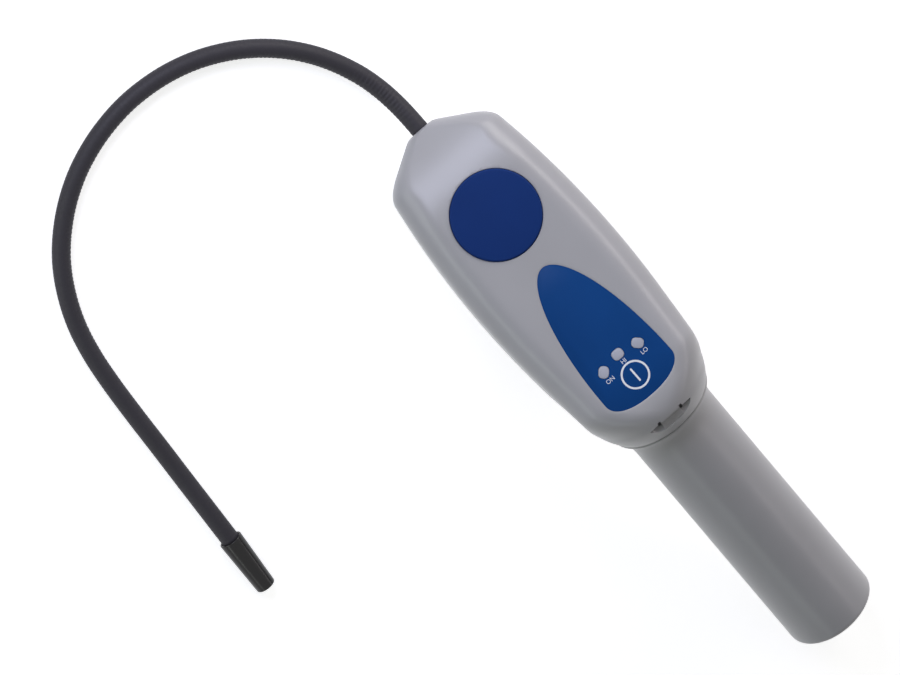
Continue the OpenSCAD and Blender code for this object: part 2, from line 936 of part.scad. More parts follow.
// Conical coil, wide on the closed end of the handle
module battery_spring() {
    steps = 54;
    color("silver")
        on_handle()
            coil([for (i = [0:steps])
                let (t = i / steps)
                let (r = 5 + 6 * t)
                [r * cos(360 * spring_turns * t), r * sin(360 * spring_turns * t),
                    spring_from + spring_wire + (spring_h - 2 * spring_wire) * t]]);
}

module coil(route) {
    tube_along(route, spring_wire, 8);
}

// Brass strip from under the spring, along the bore, to the shoulder under the neck's spigot
module contact_strip() {
    foot_z = handle_l - handle_end - strip_t;
    color([0.85, 0.72, 0.4])
        on_handle() {
            translate([strip_r, -strip_w / 2, shoulder_z - strip_t])
                cube([strip_t, strip_w, foot_z - shoulder_z + 2 * strip_t]);
            translate([-8, -strip_w / 2, foot_z])
                cube([strip_r + 8 + strip_t, strip_w, strip_t]);
            translate([strip_r, -strip_w / 2, shoulder_z - strip_t])
                cube([spigot_wall, strip_w, strip_t]);
        }
}

module sensitivity_button() {
    r = button_d / 2;
    under = button_rise - button_cap_t;
    flange_top = -front_drop(button_x - r - button_flange) - 1.1 * wall - moving_gap;
    flange_end = flange_top - button_flange_t;
    crown = [for (i = [1:6])
        let (t = 1 - i / 6)
        [(r - button_edge) * t, button_rise + button_crown * (1 - t * t)]];
    color([0.11, 0.2, 0.41])
        laid()
            translate([button_x, 0, 0])
                rotate_extrude($fn = 128)
                    polygon(concat(
                        [
                            [0, plunger_top], [stem_r, plunger_top], [stem_r, under],
                            [r - button_skirt_t, under], [r - button_skirt_t, flange_end],
                            [r + button_flange, flange_end], [r + button_flange, flange_top], [r, flange_top]
                        ],
                        quarter([r - button_edge, button_rise - button_edge], button_edge, 0),
                        crown
                    ));
}

// Latch: ears inside the chin, and a tab whose finger face slopes down to a thin lip
module battery_latch() {
    back = -latch_neck - moving_gap;
    ear_w = latch_w + 2 * notch_w + 1.4;
    color([0.5, 0.51, 0.54])
        laid()
            translate([scoop_x, 0, seat_gap - scoop_depth]) {
                translate([0, latch_w / 2, 0])
                    rotate([90, 0, 0])
                        linear_extrude(latch_w)
                            polygon([
                                [back, 0], [latch_tab, 0], [latch_tab, latch_lip], [0, latch_rise],
                                [back, latch_rise]
                            ]);
                translate([back - latch_ear, -ear_w / 2, 0])
                    cube([latch_ear, ear_w, latch_t]);
            }
}

module sensor_tip() {
    end_r = tip_end_d / 2;
    end_round = 1;
    inner_l = tip_l - 1.6;
    cavity_end = hose_inset + socket_l + 1;
    color([0.15, 0.15, 0.16])
        on_tip()
            rotate_extrude()
                polygon(concat(
                    [[tip_bore_r, 0], [tip_d / 2, 0]],
                    quarter([end_r - end_round, tip_l - end_round], end_round, 0),
                    [
                        [inlet_r, tip_l], [inlet_r, inner_l], [end_r - 1.2, inner_l],
                        [tip_cavity_r - 0.6, cavity_end], [tip_cavity_r, cavity_end],
                        [tip_cavity_r, hose_inset + 1], [tip_bore_r, hose_inset + 1]
                    ]
                ));
}

module tip_filter() {
    color([0.85, 0.85, 0.8])
        on_tip()
            translate([0, 0, tip_l - 1.6 - filter_t])
                cylinder(h = filter_t, r = tip_end_d / 2 - 1.3);
}

front_housing();
rear_housing();
housing_screws();
keypad_overlay();
power_lamp();
high_lamp();
low_lamp();
circuit_board();
board_screws();
button_switch();
power_switch();
beeper();
pump_head();
pump_motor();
pump_tube();
battery_socket();
contact_plate();
contact_ring();
probe_ferrule();
probe_hose();
sensor_socket();
sensor();
battery_handle();
battery_upper();
battery_lower();
battery_spring();
contact_strip();
sensitivity_button();
switch_plunger();
battery_latch();
sensor_tip();
tip_filter();
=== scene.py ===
"""Refrigerant leak detector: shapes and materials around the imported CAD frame.

Sizes are in millimetres in the head's own frame, as in the solids: x runs from the nose to the neck,
z is 0 on the flat face and the head lies tilted on the floor by REST_ANGLE.
"""

import json
import math

import bmesh
import bpy
import numpy as np
from mathutils import Matrix, Vector


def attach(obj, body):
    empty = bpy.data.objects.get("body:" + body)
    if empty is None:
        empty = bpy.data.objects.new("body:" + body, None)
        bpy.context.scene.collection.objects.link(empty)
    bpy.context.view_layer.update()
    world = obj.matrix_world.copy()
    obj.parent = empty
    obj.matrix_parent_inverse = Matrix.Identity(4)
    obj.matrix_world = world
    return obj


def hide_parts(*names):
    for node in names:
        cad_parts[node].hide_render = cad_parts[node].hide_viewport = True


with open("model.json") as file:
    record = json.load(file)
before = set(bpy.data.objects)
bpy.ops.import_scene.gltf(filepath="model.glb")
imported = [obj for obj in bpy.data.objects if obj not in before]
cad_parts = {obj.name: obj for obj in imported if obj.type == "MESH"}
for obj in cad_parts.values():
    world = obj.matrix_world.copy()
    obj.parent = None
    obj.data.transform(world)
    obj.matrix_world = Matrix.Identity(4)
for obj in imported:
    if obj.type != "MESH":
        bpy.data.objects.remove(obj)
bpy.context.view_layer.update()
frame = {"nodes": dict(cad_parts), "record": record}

MM = 0.001

# Head
HEAD_W = 67.6
HEAD_DEPTH = 55.0
PARTING_DEPTH = 27.0
WIDEST_X = 80.0
SIDE_R = 397.0
WALL = 2.4
FRONT_EDGE_R = 13.0
BACK_EDGE_R = 14.0
NOSE_R = 6.8
NOSE_DEPTH = 18.0
NOSE_WALL = 9.0
SHOULDER_SLOPE = 1.66
NOSE_BLEND = 45.0
NOSE_SLOPE = 0.5
THROAT_SLOPE = 1.15
SHOULDER_SOFT = 7.0
FACE_SOFT = 8.0
KEEL_SOFT = 4.0
BACK_SOFT = 6.0
EDGE_BLEND = 25.0
PARTING_GAP = 0.1

# Neck and handle
BEND = 34.0
NECK_X = 150.0
NECK_DEPTH = 36.5
WAIST_ANGLE = 17.0
WAIST_POWER = 3.2
CHIN_SLOPE = 1.0
ROUND_FROM = 12.0
ROUND_TO = 27.0
HANDLE_R = 20.05
NECK_R = 24.75
# The neck's sides and the handle's flare are drawn in a little from the solids, as the photograph shows
NECK_SIDE_R = 24.05
BORE_R = 17.5
SOCKET_BORE_R = 19.5
SOCKET_DEPTH = 9.0
SOCKET_TOP = 3.6
SOCKET_FLANGE_R = 21.0
SOCKET_FLANGE_T = 2.2
SHOULDER_Z = 7.0
HANDLE_L = 135.75
HANDLE_END = 3.0
HANDLE_ROUND = 1.2
END_REACH = 1.4
END_ROUND = 2.8
SEAM_GAP = 0.35
FLARE_LAND = 0.9
FLARE_L = 12.0
REST_ANGLE = 21.0
LAND_TRIM = 0.4

# Clearances
MOVING_GAP = 0.3
SEAT_GAP = 0.1

# Button
BUTTON_R = 19.35
BUTTON_X = 47.6
BUTTON_GAP = 0.15
BUTTON_RISE = 0.9
BUTTON_CROWN = 0.6
BUTTON_EDGE = 0.8
BUTTON_CAP_T = 2.2
BUTTON_SKIRT_T = 2.0
BUTTON_FLANGE = 1.5
BUTTON_FLANGE_T = 1.2
STEM_R = 3.0
PLUNGER_TOP = -5.2

# Film and lamps
FILM_W = 36.2
FILM_TOP_X = 76.7
FILM_END_X = 146.1
FILM_WIDE_X = 137.4
FILM_T = 0.4
FILM_RECESS = 0.5
KEY_X = 135.5
KEY_HOLE_R = 3.0
LAMP_ANGLE = 45.0
LAMP_SIDE_R = 13.2
LAMP_MID_R = 11.2
LAMP_L = 5.2
LAMP_W = 4.4
LAMP_ROUND = 1.8
BOARD_TOP = -10.0

# Latch and scoop
LATCH_W = 10.2
LATCH_T = 1.6
LATCH_TRAVEL = 1.6
LATCH_EAR = 2.1
LATCH_NECK = 1.2
LATCH_RISE = 2.8
LATCH_LIP = 0.9
LATCH_TAB = 3.0
LATCH_SLOT = LATCH_NECK + LATCH_EAR + LATCH_TRAVEL + 2 * MOVING_GAP
NOTCH_W = 1.4
SCOOP_X = NECK_X + 7.6
SCOOP_DEPTH = 10.0
SCOOP_HALF_W = 11.1
SCOOP_END_RISE = 2.6
SCOOP_END_POWER = 8

# Back: screws and sound slots
SCREW_HOLES = [(24.0, 14.0), (24.0, -14.0), (116.0, 19.5), (116.0, -19.5)]
SCREW_SEAT = 6.0
SCREW_HEAD_R = 2.9
SOUND_X = 100.0
SOUND_PITCH = 3.6
SOUND_L = 14.0
SOUND_W = 1.6

# Probe
HOSE_R = 4.05
FERRULE_BACK = 3.6
FERRULE_R = 6.0
TIP_L = 26.5
TIP_R = 5.15
TIP_END_R = 4.35
TIP_BORE_R = HOSE_R + MOVING_GAP
TIP_CAVITY_R = 3.85
HOSE_INSET = 3.0
SENSOR_SOCKET_L = 9.0
INLET_R = 2.2

# Probe route in metres, in the frame's own axes, as in the solids
HOSE_ROUTE = [
    (-0.1372, 0, 0.0146), (-0.148, 0, 0.0104), (-0.156, -0.0005, 0.0074),
    (-0.164, -0.0017, 0.0052), (-0.1733, -0.0041, 0.0041), (-0.1842, -0.0084, 0.0041),
    (-0.1943, -0.014, 0.0041), (-0.2038, -0.0212, 0.0041), (-0.2123, -0.0299, 0.0041),
    (-0.2193, -0.0396, 0.0041), (-0.225, -0.0506, 0.0041), (-0.2288, -0.062, 0.0041),
    (-0.2308, -0.0735, 0.0041), (-0.2312, -0.0855, 0.0041), (-0.2297, -0.0975, 0.0041),
    (-0.2266, -0.109, 0.0041), (-0.2217, -0.1204, 0.0041), (-0.2146, -0.1315, 0.0041),
    (-0.2057, -0.1415, 0.0041), (-0.1958, -0.1496, 0.0041), (-0.1839, -0.1563, 0.0041),
    (-0.1711, -0.1612, 0.0041), (-0.1571, -0.1643, 0.0041), (-0.142, -0.1661, 0.0041),
    (-0.125, -0.1673, 0.0042), (-0.108, -0.1682, 0.0045), (-0.091, -0.1692, 0.0049),
    (-0.073, -0.1702, 0.0052), (-0.053, -0.1713, 0.0052),
]


# Frames

def sin_d(angle):
    return math.sin(math.radians(angle))


def cos_d(angle):
    return math.cos(math.radians(angle))


# The floor touches the handle's rear rim and the land on the back shell
rim_l = HANDLE_L - HANDLE_ROUND
rim_r = HANDLE_R - HANDLE_ROUND
RIM_X = NECK_X + rim_l * cos_d(BEND) - rim_r * sin_d(BEND)
RIM_Z = -NECK_DEPTH - rim_l * sin_d(BEND) - rim_r * cos_d(BEND)
FLOOR_H = HANDLE_ROUND - RIM_X * sin_d(REST_ANGLE) - RIM_Z * cos_d(REST_ANGLE)
FAR_X = NECK_X + rim_l * cos_d(BEND) + rim_r * sin_d(BEND)
FAR_Z = -NECK_DEPTH - rim_l * sin_d(BEND) + rim_r * cos_d(BEND)
REACH_MAX = FAR_X * cos_d(REST_ANGLE) - FAR_Z * sin_d(REST_ANGLE) + HANDLE_ROUND
REACH_MIN = (NOSE_DEPTH - NOSE_R) * sin_d(REST_ANGLE)
ORIGIN_X = -(REACH_MIN + REACH_MAX) / 2

HEAD_FRAME = (
    Matrix.Scale(MM, 4)
    @ Matrix.Translation((ORIGIN_X, 0, FLOOR_H))
    @ Matrix.Rotation(math.radians(-REST_ANGLE), 4, "Y")
)
HANDLE_IN_HEAD = Matrix.Translation((NECK_X, 0, -NECK_DEPTH)) @ Matrix.Rotation(math.radians(90 + BEND), 4, "Y")
HANDLE_FRAME = HEAD_FRAME @ HANDLE_IN_HEAD
NOSE_IN_HEAD = Matrix.Translation((0, 0, -NOSE_DEPTH)) @ Matrix.Rotation(math.radians(90), 4, "Y")

route_end = Vector(HOSE_ROUTE[-1])
tip_heading = route_end - Vector(HOSE_ROUTE[-2])
TIP_FRAME = (
    Matrix.Translation(route_end)
    @ Matrix.Rotation(math.atan2(tip_heading.y, tip_heading.x), 4, "Z")
    @ Matrix.Rotation(math.radians(90), 4, "Y")
    @ Matrix.Scale(MM, 4)
    @ Matrix.Translation((0, 0, -HOSE_INSET))
)


# The head's loft

TURN_R = (NECK_DEPTH - PARTING_DEPTH) / (1 - cos_d(BEND))
TURN_START = NECK_X - TURN_R * sin_d(BEND)
TURN_L = TURN_R * math.radians(BEND)
SPINE_L = TURN_START + TURN_L


def soft_min(a, b, k):
    """The smaller of two values, with a rounded corner of width k where they cross."""
    h = max(k - abs(a - b), 0) / k
    return min(a, b) - h * h * k / 4


def ease(t):
    c = min(max(t, 0), 1)
    return c * c * (3 - 2 * c)


def turn(u):
    """Angle of the spine in degrees at distance u along it."""
    return math.degrees(max(u - TURN_START, 0) / TURN_R)


def spine_x(u):
    return min(u, TURN_START) + TURN_R * sin_d(turn(u))


def spine_z(u):
    rise = (PARTING_DEPTH - NOSE_DEPTH) * (1 - ease(u / NOSE_BLEND))
    return -PARTING_DEPTH - TURN_R * (1 - cos_d(turn(u))) + rise


def half_width(u):
    side = HEAD_W / 2 - (spine_x(u) - WIDEST_X) ** 2 / (2 * SIDE_R)
    w = soft_min(NOSE_R + SHOULDER_SLOPE * u, side, SHOULDER_SOFT)
    waist = max(turn(u) - WAIST_ANGLE, 0) / (BEND - WAIST_ANGLE)
    return NECK_SIDE_R + (w - NECK_SIDE_R) * (1 - waist**WAIST_POWER)


def front_height(u):
    """Height of the front above the spine: nose slope, flat face, then the chin."""
    a = turn(u)
    face = soft_min(0, -NOSE_DEPTH + NOSE_R + NOSE_SLOPE * u, FACE_SOFT) - spine_z(u)
    flat = (PARTING_DEPTH + TURN_R * (1 - cos_d(a))) / cos_d(a)
    return soft_min(face if u < TURN_START else flat, NECK_R + CHIN_SLOPE * (BEND - a), FACE_SOFT)


def back_depth(u):
    """Depth of the back below the face: throat, floor land, then the flat back."""
    throat = NOSE_DEPTH + NOSE_R + THROAT_SLOPE * u
    land = (FLOOR_H + u * sin_d(REST_ANGLE)) / cos_d(REST_ANGLE) + LAND_TRIM
    return soft_min(soft_min(throat, land, KEEL_SOFT), HEAD_DEPTH, BACK_SOFT)


def back_height(u):
    straight = HEAD_DEPTH - PARTING_DEPTH
    if u < TURN_START:
        return back_depth(u) + spine_z(u)
    return straight + (NECK_R - straight) * ease(turn(u) / BEND)


def height(u, side):
    return front_height(u) if side > 0 else back_height(u)


def front_z(x):
    """Height of the front surface over the flat face's level, at distance x from the nose."""
    return front_height(x) + spine_z(x)


def corner(u, full, edge_r):
    """Radius of the section's corner, which grows to the full half-size at the neck and the nose."""
    r = min(NOSE_R + (edge_r - NOSE_R) * ease(u / EDGE_BLEND), full)
    return r + (full - r) * ease((turn(u) - ROUND_FROM) / (ROUND_TO - ROUND_FROM))


def cavity(u, side):
    """Size of the cavity: the outer size less the wall, and no wider than the socket bore at the neck."""
    measure = half_width if side == 0 else (lambda at: height(at, side))
    near = min(u, SPINE_L - 0.6)
    slope = measure(near + 0.5) - measure(near - 0.5)
    limit = SOCKET_BORE_R - MOVING_GAP + 1.6 * max(ROUND_TO - 1 - turn(u), 0)
    return min(measure(u) - WALL * math.hypot(1, slope), limit)


SIDE_COLUMNS = 6
CORNER_COLUMNS = 18
FLAT_COLUMNS = 12
NOSE_FILLET = 1.2
SEAM_FILLET = 0.7
GROOVE_DEPTH = 0.28
GROOVE_W = 0.3
LEAST_FLAT = 0.4


def end_fillet(u):
    """How far the skin draws in at the nose's rim and at the seam with the handle."""
    inset = 0.0
    for distance, r in ((u, NOSE_FILLET), (SPINE_L - u, SEAM_FILLET)):
        if distance < r:
            inset += r - math.sqrt(max(r * r - (r - distance) ** 2, 0))
    return inset


def half_section(w, h, edge_y, edge_z, groove):
    """(y, rise) from the parting line at +y over the top to -y, with the same count for every section."""
    edge_y = min(edge_y, w - LEAST_FLAT)
    edge_z = min(edge_z, h - LEAST_FLAT)
    foot = min(GROOVE_W, 0.7 * (h - edge_z))
    quarter = [(w - groove, PARTING_GAP / 2)]
    quarter += [(w, foot + (h - edge_z - foot) * i / SIDE_COLUMNS) for i in range(SIDE_COLUMNS + 1)]
    for i in range(1, CORNER_COLUMNS + 1):
        t = math.pi / 2 * i / CORNER_COLUMNS
        quarter.append((w - edge_y + edge_y * math.cos(t), h - edge_z + edge_z * math.sin(t)))
    quarter += [((w - edge_y) * (1 - i / FLAT_COLUMNS), h) for i in range(1, FLAT_COLUMNS + 1)]
    return quarter + [(-y, rise) for y, rise in reversed(quarter[:-1])]


def half_ring(u, side, inner):
    edge_r = FRONT_EDGE_R if side > 0 else BACK_EDGE_R
    if inner:
        w, h, edge_r, groove = cavity(u, 0), cavity(u, side), edge_r - WALL, 0.0
    else:
        inset = end_fillet(u)
        w, h, groove = half_width(u) - inset, height(u, side) - inset, GROOVE_DEPTH
    section = half_section(w, h, corner(u, w, edge_r), corner(u, h, edge_r), groove)
    a = turn(u)
    return [
        (spine_x(u) + side * rise * sin_d(a), y, spine_z(u) + side * rise * cos_d(a)) for y, rise in section
    ]


def head_stations():
    """Distances along the spine: close together on the fillets, the nose and the chin."""
    nose = [NOSE_FILLET * (1 - math.cos(math.pi / 2 * i / 5)) for i in range(5)]
    slope = [NOSE_FILLET + (NOSE_BLEND - NOSE_FILLET) * (i / 40) ** 1.2 for i in range(40)]
    straight = [NOSE_BLEND + (TURN_START - NOSE_BLEND) * i / 36 for i in range(36)]
    bend = [TURN_START + (TURN_L - SEAM_FILLET) * i / 48 for i in range(49)]
    seam = [SPINE_L - SEAM_FILLET * (1 - math.sin(math.pi / 2 * i / 5)) for i in range(1, 6)]
    return nose + slope + straight + bend + seam


# Mesh tools, in the piece's own frame and millimetres

def piece(name, verts, faces):
    mesh = bpy.data.meshes.new(name)
    mesh.from_pydata([tuple(v) for v in verts], [], faces)
    solid = bmesh.new()
    solid.from_mesh(mesh)
    bmesh.ops.recalc_face_normals(solid, faces=solid.faces)
    solid.to_mesh(mesh)
    solid.free()
    made = bpy.data.objects.new(name, mesh)
    bpy.context.scene.collection.objects.link(made)
    return made


def grid_faces(rows, cols, first=0, closed=False):
    """Four-sided faces between neighbouring rows of points; closed joins each row's end to its start."""
    last = cols if closed else cols - 1
    return [
        (first + i * cols + j, first + (i + 1) * cols + j,
         first + (i + 1) * cols + (j + 1) % cols, first + i * cols + (j + 1) % cols)
        for i in range(rows - 1) for j in range(last)
    ]


def lathe(name, outline, segments=160):
    """Solid of revolution about z. The outline runs from r 0 to r 0, or closes on itself as a ring."""
    ring = outline[0][0] > 1e-9
    inner = outline if ring else outline[1:-1]
    verts = [
        (r * math.cos(2 * math.pi * k / segments), r * math.sin(2 * math.pi * k / segments), z)
        for r, z in inner for k in range(segments)
    ]
    faces = grid_faces(len(inner), segments, closed=True)
    if ring:
        last = (len(inner) - 1) * segments
        faces += [(last + k, k, (k + 1) % segments, last + (k + 1) % segments) for k in range(segments)]
    else:
        for row, (_, z) in ((0, outline[0]), (len(inner) - 1, outline[-1])):
            verts.append((0, 0, z))
            pole = len(verts) - 1
            faces += [(pole, row * segments + k, row * segments + (k + 1) % segments) for k in range(segments)]
    return piece(name, verts, faces)


def arc(middle, r, start, stop, steps=8):
    """Points of a round, by its middle, radius and angles in degrees."""
    return [
        (middle[0] + r * cos_d(start + (stop - start) * i / steps),
         middle[1] + r * sin_d(start + (stop - start) * i / steps))
        for i in range(steps + 1)
    ]


def widened(outline, more):
    """A closed outline moved outward by more, along the normals at its points."""
    pts = np.array(outline, float)
    along = np.roll(pts, -1, axis=0) - np.roll(pts, 1, axis=0)
    along /= np.linalg.norm(along, axis=1)[:, None]
    turned = np.column_stack([along[:, 1], -along[:, 0]])
    area = np.sum(pts[:, 0] * np.roll(pts[:, 1], -1) - np.roll(pts[:, 0], -1) * pts[:, 1])
    return pts + turned * (more if area > 0 else -more)


def prism(name, outline, levels):
    """Upright solid on an outline; each level is (z, how far the outline is widened there)."""
    verts = []
    for z, more in levels:
        verts += [(x, y, z) for x, y in widened(outline, more)]
    n = len(outline)
    faces = grid_faces(len(levels), n, closed=True)
    faces += [tuple(range(n - 1, -1, -1)), tuple(range((len(levels) - 1) * n, len(levels) * n))]
    return piece(name, verts, faces)


def rounded_rect(size_x, size_y, r, steps=6):
    points = []
    for sx, sy, start in ((1, 1, 0), (-1, 1, 90), (-1, -1, 180), (1, -1, 270)):
        points += arc((sx * (size_x / 2 - r), sy * (size_y / 2 - r)), r, start, start + 90, steps)
    return points


def placed(made, matrix):
    """Moves a piece's mesh, so that its object stays at the origin."""
    made.data.transform(matrix)
    return made


def shaped(made, cutters, operation="DIFFERENCE"):
    """Cuts the cutters out of a piece, or joins them to it, and removes them."""
    for tool in cutters:
        change = made.modifiers.new("shape", "BOOLEAN")
        change.object = tool
        change.operation = operation
        change.solver = "MANIFOLD"
    bpy.context.view_layer.update()
    graph = bpy.context.evaluated_depsgraph_get()
    result = bpy.data.meshes.new_from_object(made.evaluated_get(graph))
    made.modifiers.clear()
    old = made.data
    made.data = result
    bpy.data.meshes.remove(old)
    result.name = made.name
    for tool in cutters:
        shape = tool.data
        bpy.data.objects.remove(tool)
        bpy.data.meshes.remove(shape)
    return made


def smooth(made, angle=32):
    made.data.shade_smooth()
    made.data.set_sharp_from_angle(angle=math.radians(angle))
    return made


def joined(name, parts):
    """One piece from several, keeping each one's materials."""
    with bpy.context.temp_override(active_object=parts[0], selected_editable_objects=parts):
        bpy.ops.object.join()
    parts[0].name = name
    parts[0].data.name = name
    return parts[0]


# Materials

def material(name):
    made = bpy.data.materials.new(name)
    made.use_nodes = True
    return made, made.node_tree, made.node_tree.nodes["Principled BSDF"]


def noise(tree, scale, detail=3.0, stretch=None, rough=0.55):
    """Noise over the piece's own place in metres; stretch scales the axes."""
    coord = tree.nodes.new("ShaderNodeTexCoord")
    out = coord.outputs["Object"]
    if stretch is not None:
        mapping = tree.nodes.new("ShaderNodeMapping")
        mapping.inputs["Scale"].default_value = stretch
        tree.links.new(out, mapping.inputs["Vector"])
        out = mapping.outputs["Vector"]
    made = tree.nodes.new("ShaderNodeTexNoise")
    made.inputs["Scale"].default_value = scale
    made.inputs["Detail"].default_value = detail
    made.inputs["Roughness"].default_value = rough
    tree.links.new(out, made.inputs["Vector"])
    return made.outputs["Fac"]


def ramp(tree, fac, low, high, start=0.3, stop=0.7):
    made = tree.nodes.new("ShaderNodeValToRGB")
    made.color_ramp.elements[0].position = start
    made.color_ramp.elements[1].position = stop
    made.color_ramp.elements[0].color = (*low, 1)
    made.color_ramp.elements[1].color = (*high, 1)
    tree.links.new(fac, made.inputs["Fac"])
    return made.outputs["Color"]


def spread(tree, fac, low, high):
    made = tree.nodes.new("ShaderNodeMapRange")
    made.inputs["From Min"].default_value = 0.3
    made.inputs["From Max"].default_value = 0.7
    made.inputs["To Min"].default_value = low
    made.inputs["To Max"].default_value = high
    tree.links.new(fac, made.inputs["Value"])
    return made.outputs["Result"]


def bump(tree, shader, fac, depth, below=None):
    """Fine relief, depth in metres."""
    made = tree.nodes.new("ShaderNodeBump")
    made.inputs["Strength"].default_value = 1.0
    made.inputs["Distance"].default_value = depth
    tree.links.new(fac, made.inputs["Height"])
    if below is not None:
        tree.links.new(below, made.inputs["Normal"])
    tree.links.new(made.outputs["Normal"], shader.inputs["Normal"])
    return made.outputs["Normal"]


def moulded(name, colour, vary=0.08, rough=(0.4, 0.5), grain=1400, depth=0.00002, metallic=0.0, coat=0.0,
            specular=0.5):
    """Moulded or painted surface: slight change of colour, grain in the roughness and fine relief."""
    made, tree, shader = material(name)
    broad = noise(tree, 28, 2.0)
    low = tuple(c * (1 - vary) for c in colour)
    high = tuple(min(c * (1 + vary), 1) for c in colour)
    tree.links.new(ramp(tree, broad, low, high), shader.inputs["Base Color"])
    fine = noise(tree, grain, 4.0)
    tree.links.new(spread(tree, fine, *rough), shader.inputs["Roughness"])
    bump(tree, shader, fine, depth)
    shader.inputs["Metallic"].default_value = metallic
    shader.inputs["Specular IOR Level"].default_value = specular
    shader.inputs["Coat Weight"].default_value = coat
    shader.inputs["Coat Roughness"].default_value = 0.15
    return made


housing_grey = moulded("housing_grey", (0.375, 0.375, 0.39), 0.03, (0.3, 0.36), 2600, 0.000006, specular=0.6)
button_blue = moulded("button_blue", (0.0075, 0.033, 0.16), 0.06, (0.5, 0.6), 2200, 0.00001, specular=0.08)
film_blue = moulded("film_blue", (0.0055, 0.055, 0.215), 0.05, (0.3, 0.38), 2600, 0.000004, specular=0.07)
print_white = moulded("print_white", (0.8, 0.82, 0.85), 0.02, (0.4, 0.5), 2600, 0.000002)
lamp_clear = moulded("lamp_clear", (0.43, 0.445, 0.51), 0.08, (0.3, 0.42), 1500, 0.00001, specular=0.25)
hose_rubber = moulded("hose_rubber", (0.016, 0.0145, 0.021), 0.12, (0.5, 0.64), 1500, 0.00002, specular=0.35)
tip_black = moulded("tip_black", (0.008, 0.0072, 0.0078), 0.1, (0.2, 0.26), 1800, 0.000003, specular=0.32)
inner_black = moulded("inner_black", (0.02, 0.02, 0.022), 0.12, (0.45, 0.6), 1200, 0.00001)
board_green = moulded("board_green", (0.012, 0.12, 0.045), 0.2, (0.25, 0.4), 500, 0.00001)
steel = moulded("steel", (0.55, 0.55, 0.56), 0.05, (0.25, 0.4), 900, 0.000006, metallic=1.0)
contact_brass = moulded("contact_brass", (0.62, 0.42, 0.14), 0.08, (0.22, 0.38), 900, 0.000006, metallic=1.0)
cell_wrap = moulded("cell_wrap", (0.4, 0.22, 0.05), 0.06, (0.2, 0.32), 700, 0.000006, metallic=0.6, coat=0.3)
tube_clear = moulded("tube_clear", (0.55, 0.55, 0.5), 0.06, (0.3, 0.42), 900, 0.00001)
filter_felt = moulded("filter_felt", (0.68, 0.68, 0.62), 0.2, (0.85, 0.95), 3500, 0.00008)

MATERIALS = {
    "housing_grey": housing_grey,
    "button_blue": button_blue,
    "film_blue": film_blue,
    "lamp_clear": lamp_clear,
    "hose_rubber": hose_rubber,
    "tip_black": tip_black,
    "inner_black": inner_black,
    "board_green": board_green,
    "steel": steel,
    "contact_brass": contact_brass,
    "cell_wrap": cell_wrap,
    "tube_clear": tube_clear,
    "filter_felt": filter_felt,
}


def wear(made, finish):
    made.data.materials.clear()
    made.data.materials.append(finish)
    return made


def finished(made, node, body, slot):
    """The piece stands for a CAD node, rides its body and takes the slot's finish."""
    if len(made.data.materials) < 2:
        wear(made, MATERIALS[slot])
    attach(made, body)
    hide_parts(node)
    return made


# Camera, at the photograph's angle: the aim and the axes are in the head's frame
CAMERA_AIM = (73.27, -47.79, -1.58)
CAMERA_RIGHT = (0.65805, 0.75286, 0.01)
CAMERA_UP = (-0.75288, 0.65781, 0.01963)
CAMERA_BACK = (0.0082, -0.02045, 0.99976)
CAMERA_AWAY = 10.0
FRAME_W = 0.373587
SENSOR_W = 36.0

camera_data = bpy.data.cameras.new("camera")
camera_data.sensor_fit = "HORIZONTAL"
camera_data.sensor_width = SENSOR_W
camera_data.lens = SENSOR_W * CAMERA_AWAY / FRAME_W
camera_data.clip_start = 0.1
camera_data.clip_end = 100.0
camera = bpy.data.objects.new("camera", camera_data)
bpy.context.scene.collection.objects.link(camera)
head_turn = HEAD_FRAME.to_3x3().normalized()
axes = Matrix([CAMERA_RIGHT, CAMERA_UP, CAMERA_BACK]).transposed()
camera.matrix_world = (
    Matrix.Translation(HEAD_FRAME @ Vector(CAMERA_AIM) + head_turn @ Vector(CAMERA_BACK) * CAMERA_AWAY)
    @ (head_turn @ axes).to_4x4()
)
bpy.context.scene.camera = camera


# Probe hose

def smooth_path(points, spacing):
    """Even points on a smooth curve through a route."""
    pts = np.array(points, float)
    ext = np.vstack([2 * pts[0] - pts[1], pts, 2 * pts[-1] - pts[-2]])
    fine = []
    for i in range(1, len(ext) - 2):
        p0, p1, p2, p3 = ext[i - 1:i + 3]
        for t in np.linspace(0, 1, 60, endpoint=False):
            fine.append(0.5 * (2 * p1 + (p2 - p0) * t + (2 * p0 - 5 * p1 + 4 * p2 - p3) * t**2
                               + (3 * p1 - p0 - 3 * p2 + p3) * t**3))
    fine = np.array(fine + [pts[-1]])
    run = np.concatenate([[0], np.cumsum(np.linalg.norm(np.diff(fine, axis=0), axis=1))])
    at = np.linspace(0, run[-1], int(run[-1] / spacing) + 1)
    return np.column_stack([np.interp(at, run, fine[:, k]) for k in range(3)])


HOSE_SPACING = 0.0003
HOSE_SIDES = 32
WRINKLE_PITCH = 0.0019
WRINKLE_DEPTH = 0.0002
hose_path = smooth_path(HOSE_ROUTE, HOSE_SPACING)


